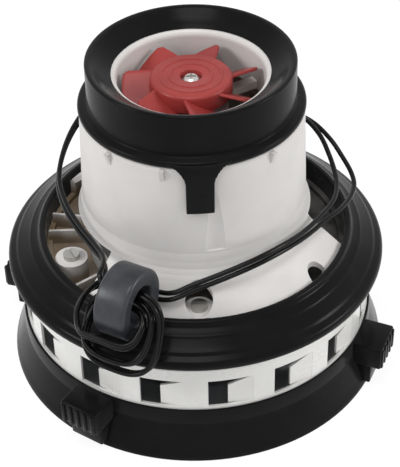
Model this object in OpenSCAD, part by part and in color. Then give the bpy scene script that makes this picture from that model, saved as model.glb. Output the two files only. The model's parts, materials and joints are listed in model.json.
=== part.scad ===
// Bypass vacuum motor: louvred fan case below, motor housing above, rubber mounts round both.
// The motor axis is Z, the rest plane is z = 0, and the front of the motor faces -Y.

/* [Fan case] */
// Outside diameter of the fan case
case_d = 144; // [140:0.5:148]
// Thickness of the case's sheet steel
case_t = 1; // [0.8:0.1:1.2]
// Height of the case's underside above the rest plane
case_floor_z = 3; // [2.5:0.1:3.4]
// Height of the case's top edge above the rest plane
case_top_z = 46; // [45:0.5:46.5]
// Diameter of the suction eye in the case's floor
eye_d = 38; // [34:1:42]
// Number of outlet louvres round the case
louvre_count = 17; // [12:1:19]
// Direction of the louvre nearest to the front, in degrees
louvre_angle = -84; // [-90:1:-78]
// Width of a louvre's opening
louvre_w = 7.8; // [6:0.2:8.6]
// Height of a louvre's opening
louvre_h = 13.4; // [11:0.2:14]
// Height of the openings' lower edge above the rest plane
louvre_z = 23.8; // [23.2:0.2:25]
// Length of the ramp pressed in beside each opening
ramp_len = 10; // [8:0.5:12]
// Depth of the ramp at its opening
ramp_in = 1.4; // [1:0.2:3]
// How far the ramp's top edge is lowered at its opening
ramp_drop = 4.4; // [3:0.2:6]
// Thickness of the cover plate on top of the case
cover_t = 2; // [1.5:0.25:2.5]

/* [Base seal] */
// How far the seal's rim stands out from the case, on the rest plane
seal_flare = 6.5; // [5.5:0.25:8]
// Height of the seal's top edge
seal_top_z = 22.6; // [21:0.2:23]
// Diameter of the opening through the seal's pad
seal_bore_d = 124; // [116:1:130]
// Distance from the motor axis to a lug's face
lug_reach = 84.6; // [83:0.2:88]
// Width of a lug
lug_w = 17; // [15:0.5:22]
// Height of a lug's top
lug_top_z = 22.3; // [21:0.1:22.5]

/* [Middle ring] */
// How far the ring's lip stands out from the case
ring_overhang = 5; // [4.5:0.1:7]
// Height of the ring's outer lip
ring_lip_z = 49.4; // [49:0.1:50]
// Height of the ring's inner crest
ring_crest_z = 60.4; // [59.5:0.1:61.5]

/* [Motor housing] */
// Diameter of the housing at its top
housing_top_d = 87.2; // [86.8:0.2:88]
// Diameter of the housing just above its foot
housing_low_d = 90; // [89.5:0.5:91]
// Diameter of the foot's rim
foot_d = 122; // [120:0.5:124]
// Height of the foot's rim
foot_z = 58.3; // [57.5:0.1:58.8]
// Height of the step between foot and housing
step_z = 72; // [70:0.5:74]
// Height of the deck that the top mount sits on
deck_z = 116.4; // [116:0.1:117]
// Wall thickness of the housing
housing_t = 2.2; // [1.8:0.1:2.4]
// Inside diameter of the bowl round the cooling fan
bowl_d = 57; // [56:0.2:57.6]
// Height of the bowl's rim
bowl_z = 130.9; // [130:0.1:131.5]
// Wall thickness of the bowl
bowl_t = 4; // [3.6:0.1:4.2]

/* [Top mount] */
// Outside diameter of the mount's collar
mount_d = 80.4; // [79:0.2:82]
// Outside diameter of the mount's flange
mount_flange_d = 88; // [87.8:0.2:89]
// Height of the mount's top edge
mount_top_z = 136.8; // [135:0.2:139]
// Width of the tab that hangs from the mount
tab_w = 10.2; // [8:0.2:12]
// Height of the tab's lower end
tab_z = 98; // [96:0.5:102]
// Direction of the tab, in degrees
tab_angle = -87; // [-92:1:-84]

/* [Rotor] */
// Diameter of the shaft
shaft_d = 8; // [7:0.5:8]
// Outside diameter of both ball bearings
bearing_d = 22; // [21:0.5:23]
// Width of both ball bearings
bearing_w = 7; // [6.5:0.1:7.2]
// Diameter of the armature
armature_d = 39.4; // [38:0.2:40]
// Height of the armature's laminations
stack_h = 30; // [26:1:31]
// Diameter of the commutator's track
comm_d = 23; // [22:0.2:24]
// Diameter over the fan's blades
fan_d = 53; // [50:0.2:54]
// Diameter of the fan's hub
hub_d = 31.6; // [30:0.2:33]
// Number of fan blades
fan_blades = 7; // [5:1:8]
// Pitch of the fan blades, in degrees
blade_pitch = 32; // [26:1:36]
// Diameter of both impellers
impeller_d = 116; // [110:1:120]
// Number of vanes in an impeller
vane_count = 8; // [6:1:9]

/* [Brushes] */
// Width of a carbon brush round the commutator
brush_w = 6.2; // [5.6:0.1:6.6]
// Height of a carbon brush along the shaft
brush_h = 8; // [7:0.1:8.4]
// Length of a carbon brush
brush_len = 18; // [15:0.5:19]

/* [Lead] */
// Outside diameter of a lead wire
wire_d = 2; // [1.8:0.1:2.1]
// Outside diameter of the ferrite core
core_d = 28; // [26:0.5:28.4]
// Diameter of the hole in the ferrite core
core_bore_d = 15; // [14.6:0.2:16]
// Length of the ferrite core
core_len = 13; // [11:0.5:13.4]
// Turns of the lead through the ferrite core
core_turns = 3; // [2:1:3]

/* [Clearances] */
// Gap between pieces that are pressed or seated together
seat_gap = 0.02; // [0.01:0.01:0.05]
// Gap of rubber round what it is stretched over
rubber_gap = 0.1; // [0.05:0.05:0.2]
// Gap between pieces that slide or turn past each other
run_gap = 0.25; // [0.2:0.05:0.3]

/* [Hidden] */
$fn = 96;

// Colours, as the photo shows them
rubber_black = "#26272a";
housing_white = "#dcd8d4";
case_white = "#e2e0dc";
fan_red = "#a84a47";
steel_grey = "#9b9a98";
core_grey = "#43454a";
copper = "#b5713f";
brass = "#c2a058";
carbon = "#2e2e30";
lamination = "#7d7f84";

// Fan case
case_r = case_d / 2;
cover_z = case_top_z + cover_t;
eye_r = eye_d / 2;
eye_lip_h = 3;
bead_z = case_top_z - 3;
bead_r = 0.8;

// Air path inside the case, from the suction eye upwards
impeller_r = impeller_d / 2;
stage_gap = 1.4;
sheet_t = 0.8;
stage_z = louvre_z - 2.2;
return_vane_h = 4.4;
guide_z = stage_z - case_t - return_vane_h - sheet_t;
lower_z = case_floor_z + case_t + 1.6;
lower_h = guide_z - stage_gap - lower_z;
upper_z = stage_z + stage_gap;
upper_h = louvre_z + louvre_h - upper_z;
impeller_eye_r = eye_r + case_t + 0.8;
impeller_hub_r = 9;
hub_h = 5.2;
guide_hole_r = 11;
guide_r = case_r - 6;

// Shaft, bearings and the motor's working parts
shaft_r = shaft_d / 2;
bearing_r = bearing_d / 2;
lower_bearing_z = cover_z - bearing_w;
upper_bearing_z = deck_z - 0.4 - bearing_w;
ball_r = bearing_w * 0.283;
ball_ring_r = (shaft_r + bearing_r) / 2;
ball_count = 7;
groove_r = ball_r + 0.15;
race_t = 2.3;
seat_t = 3;
winding_h = 6;
stack_z = cover_z + winding_h + 3;
stack_top_z = stack_z + stack_h;
armature_r = armature_d / 2;
armature_slots = 12;
slot_r = 2.9;
slot_pos_r = armature_r - 5.5;
pole_r = armature_r + 0.6;
stator_r = 40.6;
yoke_r = 34.5;
pole_tip_t = 3.3;
pole_half = 34;
tip_half = 58;
comm_r = comm_d / 2;
comm_z = stack_top_z + winding_h + 1.5;
comm_h = 12;
riser_r = comm_r + 1.5;
riser_h = 2.5;
segments = 24;
nut_h = 4.6;
nut_af = 13;
washer_t = 1.2;
washer_r = 8;
spacer_r = 7.5;
bearing_spacer_r = 6.2;
screw_hole_len = 12;
shaft_low_z = case_floor_z + 0.6;

// Cooling fan
fan_top_z = bowl_z - 2.1;
fan_r = fan_d / 2;
hub_r = hub_d / 2;
hub_plate_t = 2.4;
hub_skirt_h = 7.2;
fan_boss_r = 7;
fan_boss_h = 5;
fan_boss_z = fan_top_z - 8.2;
spindle_r = 3;
recess_r = 4.2;
fan_washer_t = 0.8;
screw_head_r = 3.1;
blade_t = 1.2;
blade_angle = -24;
blade_chord = 15;
blade_z = fan_top_z - 4.8;

// Housing
housing_top_r = housing_top_d / 2;
housing_low_r = housing_low_d / 2;
foot_r = foot_d / 2;
step_r = housing_low_r + 1.5;
bowl_r = bowl_d / 2;
bowl_round = 2.2;
neck_r = bowl_r + bowl_t;
deck_t = 2.6;
floor_t = 1.5;
boss_r = 6.4;
pocket_r = 5.4;
boss_pos_r = 54;
pocket_z = foot_z + 0.7;
boss_angles = [-89, 44, 122, 204];
window_angles = [[150, 226], [-16, 62]];
foot_rib_angles = [170, 181, 217];
foot_rib_t = 1.2;
foot_rib_h = 7.5;
notch_angle = -37;
notch_r = 4.6;
gusset_angles = [-135, -105, -48, 45, 135];
rib_angles = [45, 135, 225, 315];
screw_r = 1.5;
grommet_angle = 110;
grommet_z = 96;
grommet_r = 4;

// Rubber mounts
mount_r = mount_d / 2;
mount_flange_r = mount_flange_d / 2;
mount_flange_h = 2.9;
tab_in_r = housing_low_r - 0.4;
tab_t = 2;
tab_out_r = tab_in_r + tab_t;
tab_step_z = deck_z - 6.6;
ring_r = case_r + ring_overhang;
seal_rim_r = case_r + seal_flare;
lug_angles = [-24, -124, 163];
lug_upper_h = 10.6;
lug_set_back = 4.2;
lug_low_z = 2;
lug_ribs = 5;

// Brushes
brush_z = comm_z + riser_h + brush_h / 2 + 0.9;
brush_in = comm_r + run_gap;
holder_wall = 1.3;
holder_in = riser_r + 0.5;
holder_out = 41;
holder_end_t = 1.2;
holder_ledge_w = 12;
slide_gap = 0.15;
spring_r = 2.5;
spring_wire = 0.8;
spring_turns = 5;

// Ferrite core: where it lies on the middle ring, and the direction of its hole
core_pos = [-25.6, -64.8, 72.95];
core_angle = -29;
core_r = core_d / 2;
core_bore_r = core_bore_d / 2;
core_round = 1.5;

// Routes of the lead wires, chosen by hand. Near the core they are given in the core's own
// directions: along its hole, towards the motor, and up.
live_feed_start = [[-16.1, 44.2, 97.3], [-17.1, 47, 97.3], [-18.5, 50.5, 97.2]];
live_feed_route = [
    [-24, 53, 96.5], [-33, 49.5, 94], [-42, 41, 90.5], [-49, 29, 87], [-53, 15, 83.5],
    [-54, 2, 80], [-50.5, -12, 78], [-44.6, -25, 77], [-39, -36, 77]
];
live_feed_core = [[-15.4, 12.6, 5.4], [-14, 6.6, 7], [-12.2, 1.6, 6.8]];
live_tail_core = [
    [-12, -15.4, -5], [-15.4, -10.4, -3.2], [-16.8, -3, -2], [-16.6, 5, -2.2], [-14.2, 11.4, -3.4],
    [-9, 15, -4.8], [-2, 15.6, -5.6], [5, 15.2, -5.6], [10.6, 16, -4.4]
];
live_tail_route = [
    [-1.5, -53.8, 70.2], [10.6, -50.6, 73.2], [22.9, -45.8, 75.6], [34, -37.2, 75.4],
    [42.6, -26.4, 73], [50.5, -14.4, 71.6], [56, -4, 70.8], [58.2, 6, 70.6], [58, 14, 71.4],
    [56.2, 23, 74], [53, 32, 77.5], [47, 41, 80], [38, 48.5, 80], [28, 54, 77], [20, 57.5, 72]
];
live_tail_end = [[14.5, 58.4, 68.4], [11.8, 58.4, 67.2], [9, 58.4, 67.2]];
neutral_feed_start = [[-16.1, 44.2, 94.7], [-17.1, 47, 94.7], [-18.5, 50.5, 94.6]];
neutral_feed_route = [
    [-24, 53, 93.9], [-33, 49.5, 91.4], [-42, 41, 87.9], [-49.4, 29, 84.4], [-53.6, 15, 80.9],
    [-54.6, 2, 77.4], [-51.1, -12, 75.4], [-45.2, -25, 74.4], [-39.6, -36, 74.4]
];
neutral_feed_core = [[-15.8, 12.8, 2.6], [-14.4, 8.6, 3.4], [-12.4, 5, 3.9]];
neutral_tail_core = [
    [-12.4, -14.6, -7.4], [-16.4, -9.6, -5.6], [-18.4, -2.6, -4.4], [-18, 4.6, -4.6], [-14.8, 10, -5.8],
    [-9, 13, -7.2], [-2, 13.7, -7.9], [5, 13.6, -7.9], [10.6, 15, -6.8]
];
neutral_tail_route = [
    [-1.6, -54.2, 67.6], [10.6, -51, 70.6], [22.9, -46.2, 73], [34, -37.6, 72.8],
    [42.8, -27, 70.4], [51.2, -15.4, 68.6], [58.4, -6, 67.2], [63.4, 3, 66.2], [66, 11.5, 66.2],
    [65.4, 19, 67.2], [62.4, 26, 70], [57.6, 34, 74], [50, 43.4, 77], [40, 51, 77.2], [29, 57, 74.4],
    [20.6, 60.4, 70]
];
neutral_tail_end = [[14.5, 61.2, 68], [11.8, 61.2, 67.2], [9, 61.2, 67.2]];
connector_size = [18, 7.4, 7];
connector_pos = [0, 59.8, 67.2];

// Turned ring between two radii and two heights
module ring(r_in, r_out, z_low, z_high) {
    rotate_extrude() translate([r_in, z_low]) square([r_out - r_in, z_high - z_low]);
}

// Part of such a ring between two directions
module sector(r_in, r_out, z_low, z_high, from, to) {
    rotate([0, 0, from])
        rotate_extrude(angle = to - from)
            translate([r_in, z_low]) square([r_out - r_in, z_high - z_low]);
}

// Places children at a direction and a distance from the motor axis
module at(angle, r, z) {
    rotate([0, 0, angle]) translate([r, 0, z]) children();
}

// Block that stands on a radius, centred on it, from one distance to another
module radial_block(from, to, width, z_low, z_high) {
    translate([from, -width / 2, z_low]) cube([to - from, width, z_high - z_low]);
}

// Cylinder between two heights
module rod(r, z_low, z_high) {
    translate([0, 0, z_low]) cylinder(r = r, h = z_high - z_low);
}

// Curved sheet vane between two radii, as used in the impellers and the return guide
module vane(r_in, r_out, z_low, z_high) {
    bend_r = r_out * 0.72;
    bend_x = r_out * 0.5;
    intersection() {
        translate([bend_x, -bend_r * 0.62, 0]) ring(bend_r - sheet_t, bend_r, z_low, z_high);
        sector(r_in, r_out, z_low - 1, z_high + 1, -20, 110);
    }
}

// Tube swept along a route. Rings stay square to the route, and every face is a triangle.
function unit(v) = v / norm(v);
function directions(route) = [
    for (i = [0 : len(route) - 1])
        unit(route[min(i + 1, len(route) - 1)] - route[max(i - 1, 0)])
];
function square_to(v, along) = unit(v - (v * along) * along);
function carried(along, first) = [
    for (
        i = 0, side = square_to(first, along[0]);
        i < len(along);
        i = i + 1, side = i < len(along) ? square_to(side, along[i]) : side
    ) side
];
module tube(route, diameter, sides, first_side = [0, 0, 1]) {
    along = directions(route);
    side = carried(along, first_side);
    points = [
        for (i = [0 : len(route) - 1], k = [0 : sides - 1])
            route[i] + diameter / 2
                * (side[i] * cos(360 * k / sides) + cross(along[i], side[i]) * sin(360 * k / sides))
    ];
    last = (len(route) - 1) * sides;
    walls = [
        for (i = [0 : len(route) - 2], k = [0 : sides - 1], half = [0, 1])
            let (a = i * sides + k, b = i * sides + (k + 1) % sides)
                half == 0 ? [a, a + sides, b] : [b, a + sides, b + sides]
    ];
    near_end = [for (k = [1 : sides - 2]) [0, k, k + 1]];
    far_end = [for (k = [1 : sides - 2]) [last, last + k + 1, last + k]];
    polyhedron(points = points, faces = concat(walls, near_end, far_end));
}

// Smooth route through hand-chosen points, with one more point between each two
function between(p, i, t) =
    let (
        a = p[max(i - 1, 0)], b = p[i], c = p[i + 1], d = p[min(i + 2, len(p) - 1)]
    ) 0.5 * (2 * b + (c - a) * t + (2 * a - 5 * b + 4 * c - d) * t * t
        + (3 * b - a - 3 * c + d) * t * t * t);
function smooth(p) = [
    for (i = [0 : len(p) - 2], t = [0, 0.5]) between(p, i, t),
    p[len(p) - 1]
];

// Turns a point given in the core's own directions into the motor's frame
function from_core(p) = core_pos + [
    p[0] * cos(core_angle) - p[1] * sin(core_angle),
    p[0] * sin(core_angle) + p[1] * cos(core_angle),
    p[2]
];

// Winding of one wire through the core. Turns run out of one end of the hole, along the outside
// and back in at the other end, each longer and lower than the last. The two wires lie side by side.
// The first turn is left half open: there the wire goes on to its tail.
loop_rings = 24;
loop_reach = 8.4;
loop_grow = 2.5;
inner_start = 4.8;
inner_step = 3.2;
outer_start = 15.4;
outer_step = 4.8;
lean_start = -13;
lean_step = 21;
wire_side = 1.25;
squareness = 0.68;
tail_x = -8;
feed_x = -8.5;
function squared(x) = sign(x) * pow(abs(x), squareness);
function loop_point(turn, offset) =
    let (
        inner = inner_start - inner_step * turn,
        outer = outer_start + outer_step * turn,
        lean = lean_start - lean_step * turn,
        along = (loop_reach + loop_grow * turn) * squared(cos(90 + 360 * turn)),
        out = (inner + outer) / 2 - (outer - inner) / 2 * squared(sin(90 + 360 * turn))
    ) [along, -out * cos(lean) + offset * sin(lean), out * sin(lean) + offset * cos(lean)];
function tail_point(x, offset) = [x, loop_point(0.5, offset)[1], loop_point(0.5, offset)[2]];
function feed_point(x, offset) = [x, loop_point(core_turns, offset)[1], loop_point(core_turns, offset)[2]];
function winding(offset) = concat(
    [for (x = [tail_x, tail_x + 2, -3]) tail_point(x, offset)],
    [for (i = [loop_rings / 2 : loop_rings * core_turns]) loop_point(i / loop_rings, offset)],
    [for (x = [-3, feed_x + 2, feed_x]) feed_point(x, offset)]
);

// Least gap of a tube to itself, between points more than half a turn apart
function own_gap(route, diameter) = min([
    for (i = [0 : len(route) - 1], j = [i + loop_rings / 2 : 1 : len(route) - 1])
        norm(route[i] - route[j])
]) - diameter;
echo(least_gap_of_winding = min(own_gap(winding(wire_side), wire_d), own_gap(winding(-wire_side), wire_d)));

function feed(start, middle, core, offset) = concat(
    start,
    smooth(concat(middle, [for (p = core) from_core(p)])),
    [for (x = [feed_x - 1.8, feed_x]) from_core(feed_point(x, offset))]
);
function tail(core, middle, end, offset) = concat(
    [for (x = [tail_x, tail_x - 1.8]) from_core(tail_point(x, offset))],
    smooth(concat([for (p = core) from_core(p)], middle)),
    end
);

module base_seal() {
    seat_r = case_r + rubber_gap;
    color(rubber_black) {
        rotate_extrude()
            polygon([
                [seal_bore_d / 2, 0], [seat_r + 1.4, 0], [seat_r + 1.6, 4.6], [seat_r + 2.4, 4.6],
                [seal_rim_r - 1.6, 0], [seal_rim_r, 0], [seal_rim_r - 0.3, 1.4],
                [seal_rim_r - 1.3, 4], [seal_rim_r - 2.8, 7.5], [seat_r + 2.2, 11.5], [seat_r + 1.4, 16],
                [seat_r + 1.1, 19], [seat_r + 0.9, seal_top_z - 0.4],
                [seat_r + 0.4, seal_top_z], [seat_r, seal_top_z], [seat_r, case_floor_z],
                [seal_bore_d / 2, case_floor_z]
            ]);
        for (angle = lug_angles) rotate([0, 0, angle]) lug();
    }
}

// Lug of the base seal: a wide upper block with ribs on its face, over a narrower lower block
module lug() {
    lug_root = case_r + 0.4;
    waist_z = lug_top_z - lug_upper_h;
    pitch = lug_w / lug_ribs;
    radial_block(lug_root, lug_reach, lug_w, waist_z, lug_top_z);
    radial_block(lug_root + 0.6, lug_reach - lug_set_back, lug_w - 2, lug_low_z, waist_z + 1);
    for (i = [0 : lug_ribs - 1])
        translate([0, (i - (lug_ribs - 1) / 2) * pitch, 0])
            radial_block(lug_reach - 1, lug_reach + 0.7, pitch / 2, waist_z + 0.4, lug_top_z - 0.8);
}

module fan_case() {
    color(case_white) {
        difference() {
            union() {
                ring(case_r - case_t, case_r, case_floor_z, case_top_z);
                ring(eye_r, case_r, case_floor_z, case_floor_z + case_t);
                ring(eye_r, eye_r + case_t, case_floor_z, case_floor_z + case_t + eye_lip_h);
                rotate_extrude() translate([case_r - 0.3, bead_z]) circle(r = bead_r);
            }
            for (i = [0 : louvre_count - 1])
                rotate([0, 0, louvre_angle + 360 * i / louvre_count]) louvre_cut();
        }
        for (i = [0 : louvre_count - 1])
            rotate([0, 0, louvre_angle + 360 * i / louvre_count]) louvre_ramp();
    }
}

// Opening of a louvre, and the strip beside it that its ramp is pressed from
module louvre_cut() {
    translate([case_r - 4, -louvre_w / 2, louvre_z]) cube([8, louvre_w + ramp_len, louvre_h]);
}

// Strip of the case wall pressed inwards at the opening, back on the wall at its far end
module louvre_ramp() {
    far_y = louvre_w / 2 + ramp_len + 0.4;
    far_r = sqrt(case_r * case_r - far_y * far_y);
    near_r = case_r - ramp_in;
    top_z = louvre_z + louvre_h;
    difference() {
        translate([0, 0, louvre_z])
            linear_extrude(louvre_h)
                polygon([
                    [near_r, louvre_w / 2], [far_r, far_y],
                    [far_r - case_t, far_y], [near_r - case_t, louvre_w / 2]
                ]);
        translate([case_r - 12, 0, 0])
            rotate([90, 0, 90])
                linear_extrude(16)
                    polygon([
                        [louvre_w / 2 - 1, top_z - ramp_drop], [far_y - 1.5, top_z - 0.3],
                        [far_y - 1.5, top_z + 1], [louvre_w / 2 - 1, top_z + 1]
                    ]);
    }
}

// Plate on top of the case, with the cup of the lower bearing hanging from it
module case_cover() {
    color(case_white)
        difference() {
            union() {
                rod(case_r, case_top_z, cover_z);
                rod(bearing_r + seat_t, lower_bearing_z - 1, cover_z);
            }
            rod(bearing_r + seat_gap, lower_bearing_z, cover_z + 1);
            rod(bearing_r - race_t, lower_bearing_z - 2, cover_z);
            for (angle = boss_angles) at(angle, boss_pos_r, 0) rod(screw_r + seat_gap, 0, cover_z + 1);
        }
}

module mid_ring() {
    inner_r = foot_r + rubber_gap;
    edge_r = case_r + rubber_gap;
    color(rubber_black)
        rotate_extrude()
            polygon([
                [inner_r, cover_z], [inner_r, ring_crest_z - 1], [inner_r + 0.5, ring_crest_z - 0.2],
                [inner_r + 1.4, ring_crest_z], [inner_r + 2.3, ring_crest_z - 0.8],
                [inner_r + 2.9, ring_crest_z - 2.2], [inner_r + 5, ring_crest_z - 3.2],
                [inner_r + 5.6, ring_crest_z - 2.6], [inner_r + 6.4, ring_crest_z - 3.3],
                [inner_r + 6.9, ring_crest_z - 4.5], [ring_r - 5.6, ring_lip_z + 3.9],
                [ring_r - 4.8, ring_lip_z + 4.4], [ring_r - 3.9, ring_lip_z + 3.6],
                [ring_r - 3.4, ring_lip_z + 2.3], [ring_r - 1.4, ring_lip_z + 1.6],
                [ring_r - 0.4, ring_lip_z + 0.9], [ring_r, ring_lip_z],
                [ring_r - 0.3, ring_lip_z - 1.1], [ring_r - 1.2, ring_lip_z - 2.1],
                [ring_r - 2.5, ring_lip_z - 2.5], [edge_r, ring_lip_z - 2.5], [edge_r, cover_z]
            ]);
}

module motor_housing() {
    color(housing_white)
        difference() {
            union() {
                difference() {
                    housing_shell();
                    for (span = window_angles)
                        sector(housing_low_r - 5, foot_r + 1, cover_z + floor_t + 2, step_z - 1,
                            span[0], span[1]);
                }
                for (angle = boss_angles) at(angle, boss_pos_r, 0) rod(boss_r, cover_z + 0.5, pocket_z);
                for (angle = foot_rib_angles)
                    rotate([0, 0, angle])
                        radial_block(housing_low_r, foot_r - 1, foot_rib_t, cover_z + 0.5,
                            cover_z + 0.5 + foot_rib_h);
                upper_seat();
                stator_ribs();
                for (angle = [0, 180])
                    rotate([0, 0, angle])
                        radial_block(33, holder_out + 1.5, holder_ledge_w, holder_low_z() - 1.6,
                            holder_low_z() - seat_gap);
                for (angle = gusset_angles) rotate([0, 0, angle]) gusset();
            }
            for (angle = boss_angles)
                at(angle, boss_pos_r, 0) {
                    rod(pocket_r, pocket_z, step_z + 4);
                    rod(screw_r + 0.3, cover_z - 1, pocket_z + 1);
                }
            at(notch_angle, foot_r - 1, 0) rod(notch_r, cover_z + floor_t + 3, step_z);
            front_flute();
            rotate([0, 0, grommet_angle])
                translate([housing_top_r - 8, 0, grommet_z])
                    rotate([0, 90, 0]) cylinder(r = grommet_r + seat_gap, h = 14);
        }
}

// Turned wall of the housing: foot, step, tapered body, deck and the bowl's neck
module housing_shell() {
    rotate_extrude()
        polygon([
            [foot_r, cover_z], [foot_r, foot_z - 0.6], [foot_r - 0.6, foot_z],
            [step_r + 2.7, step_z - 4.1], [step_r + 1.1, step_z - 2.4], [step_r - 0.1, step_z - 0.4],
            [step_r - 0.9, step_z + 2.2], [housing_low_r - 0.15, step_z + 6],
            [housing_top_r, deck_z - 1.5], [housing_top_r - 0.4, deck_z - 0.4],
            [housing_top_r - 1.4, deck_z], [neck_r, deck_z], [neck_r, bowl_z - 1.2],
            [neck_r - 0.4, bowl_z - 0.3], [neck_r - 1.2, bowl_z], [bowl_r + bowl_round, bowl_z],
            [bowl_r + bowl_round * 0.62, bowl_z - bowl_round * 0.08],
            [bowl_r + bowl_round * 0.29, bowl_z - bowl_round * 0.29],
            [bowl_r + bowl_round * 0.08, bowl_z - bowl_round * 0.62],
            [bowl_r, bowl_z - bowl_round], [bowl_r, deck_z - deck_t],
            [housing_top_r - housing_t, deck_z - deck_t], [housing_low_r - housing_t, step_z],
            [step_r - housing_t, step_z - 1.4], [step_r - housing_t, step_z - 2.6],
            [foot_r - housing_t, foot_z - 1.2], [foot_r - housing_t, cover_z + floor_t],
            [housing_low_r - 1.5, cover_z + floor_t], [housing_low_r - 1.5, cover_z]
        ]);
}

// Seat of the upper bearing, on arms that leave the bowl's floor open to the cooling air
module upper_seat() {
    arm_low_z = deck_z - deck_t + 0.4;
    difference() {
        union() {
            rod(bearing_r + seat_t, upper_bearing_z - 0.5, deck_z + 1.2);
            for (angle = [30 : 60 : 330])
                rotate([0, 0, angle])
                    radial_block(bearing_r + seat_t - 1, bowl_r + 1, 4, arm_low_z, deck_z + 1);
        }
        rod(bearing_r + seat_gap, upper_bearing_z - 1, upper_bearing_z + bearing_w);
        rod(shaft_r + 1.5, upper_bearing_z, deck_z + 2);
    }
}

// Ribs that hold the stator, with a shoulder above it
module stator_ribs() {
    rib_out = housing_low_r - 1.6;
    for (angle = rib_angles)
        rotate([0, 0, angle]) {
            radial_block(stator_r + seat_gap, rib_out, 4, step_z + 0.5, stack_top_z + 8);
            radial_block(stator_r - 2, stator_r + 1, 3.4, stack_top_z + seat_gap, stack_top_z + 7.5);
        }
}

// Small web under the flange of the top mount
module gusset() {
    wall_r = housing_top_r - 0.6;
    rotate([90, 0, 0])
        translate([0, 0, -0.9])
            linear_extrude(1.8)
                polygon([[wall_r, deck_z - 8], [wall_r, deck_z - 0.6], [wall_r + 2.6, deck_z - 0.6]]);
}

// Shallow upright hollow in the front of the housing, beside the tab
module front_flute() {
    flute_r = 12;
    flute_depth = 1.1;
    at(tab_angle + 7, housing_low_r + flute_r - flute_depth, 0) rod(flute_r, step_z + 7, deck_z - 5);
}

module top_mount() {
    bore_r = neck_r + rubber_gap;
    lip_r = bowl_r + bowl_round - 0.5;
    low_z = deck_z + seat_gap;
    color(rubber_black) {
        rotate_extrude()
            polygon([
                [bore_r, low_z], [mount_flange_r - 0.3, low_z], [mount_flange_r, low_z + 0.4],
                [mount_flange_r, low_z + mount_flange_h - 0.9],
                [mount_flange_r - 0.5, low_z + mount_flange_h - 0.3],
                [mount_flange_r - 1.4, low_z + mount_flange_h], [mount_r + 0.5, low_z + mount_flange_h],
                [mount_r, low_z + mount_flange_h + 0.6], [mount_r, mount_top_z - 1],
                [mount_r - 0.3, mount_top_z - 0.3], [mount_r - 1, mount_top_z],
                [mount_r - 1.8, mount_top_z - 0.2], [lip_r + 4, bowl_z + 2.6],
                [lip_r + 0.7, bowl_z + 0.7], [lip_r, bowl_z + 0.1], [bore_r, bowl_z + 0.1]
            ]);
        rotate([0, 0, tab_angle]) mount_tab();
    }
}

// Tab that hangs from the flange of the top mount, with a hollow fillet on each side
module mount_tab() {
    fillet_r = 7;
    half = tab_w / 2;
    wide = half + fillet_r;
    top_z = deck_z + mount_flange_h - 0.4;
    web_z = top_z - 0.6 - fillet_r;
    sweep = wide / tab_out_r * 180 / PI - 0.4;
    fillet = [for (t = [180 : -15 : 90]) [wide + fillet_r * cos(t), web_z + fillet_r * sin(t)]];
    difference() {
        intersection() {
            translate([tab_in_r - 6, 0, 0])
                rotate([90, 0, 90])
                    linear_extrude(14)
                        polygon(concat(
                            [[-half, tab_z], [half, tab_z]], fillet, [[wide, top_z], [-wide, top_z]],
                            [for (i = [len(fillet) - 1 : -1 : 0]) [-fillet[i][0], fillet[i][1]]]
                        ));
            rotate_extrude()
                polygon([
                    [tab_in_r, tab_z - 1], [tab_out_r, tab_z - 1], [tab_out_r, deck_z - 1.5],
                    [tab_in_r + 0.6, top_z + 1], [tab_in_r, top_z + 1]
                ]);
        }
        ring(tab_out_r - 0.5, tab_out_r + 2, tab_z - 1, tab_step_z);
    }
    sector(mount_r - 2, tab_in_r + 0.4, deck_z + 0.3, top_z - 0.3, -sweep, sweep);
    translate([tab_out_r - 1.6, 0, tab_step_z - 3.4]) rotate([0, 90, 0]) cylinder(r = 0.9, h = 1.5);
}

module housing_screws() {
    color(steel_grey)
        for (angle = boss_angles)
            at(angle, boss_pos_r, 0)
                difference() {
                    union() {
                        rod(screw_r, case_top_z, pocket_z + 0.5);
                        rod(3.2, pocket_z + seat_gap, pocket_z + 2);
                    }
                    translate([-0.4, -4, pocket_z + 1.2]) cube([0.8, 8, 2]);
                }
}

module stage_plate() {
    color(steel_grey)
        difference() {
            union() {
                ring(eye_r + 2, case_r - case_t - rubber_gap, stage_z - case_t, stage_z);
                ring(case_r - 2 * case_t - rubber_gap, case_r - case_t - rubber_gap,
                    stage_z - case_t, louvre_z - 0.6);
            }
        }
}

module return_guide() {
    color(steel_grey) {
        ring(guide_hole_r, guide_r, guide_z, guide_z + sheet_t);
        for (i = [0 : vane_count - 1])
            rotate([0, 0, 360 * i / vane_count])
                vane(eye_r + 4, guide_r, guide_z + sheet_t / 2, guide_z + sheet_t + return_vane_h);
    }
}

// Impeller: drawn front disc with its eye, curved vanes, back disc and hub
module impeller(z, h) {
    back_z = z + h - sheet_t;
    ring(shaft_r + seat_gap, impeller_r, back_z, back_z + sheet_t);
    ring(shaft_r + seat_gap, impeller_hub_r, back_z + sheet_t - hub_h, back_z);
    ring(impeller_eye_r, impeller_r, z, z + sheet_t);
    for (i = [0 : vane_count - 1])
        rotate([0, 0, 360 * i / vane_count])
            vane(impeller_eye_r + 2, impeller_r - 0.6, z + sheet_t / 2, back_z + sheet_t / 2);
}

module impeller_upper() {
    color(steel_grey) impeller(upper_z, upper_h);
}

module impeller_lower() {
    color(steel_grey) impeller(lower_z, lower_h);
}

module impeller_spacer() {
    color(steel_grey) ring(shaft_r + seat_gap, spacer_r, lower_z + lower_h, upper_z + upper_h - hub_h);
}

module bearing_spacer() {
    color(steel_grey) ring(shaft_r + seat_gap, bearing_spacer_r, upper_z + upper_h, lower_bearing_z);
}

module impeller_washer() {
    top_z = lower_z + lower_h - hub_h;
    color(steel_grey) ring(shaft_r + seat_gap, washer_r, top_z - washer_t, top_z);
}

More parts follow.
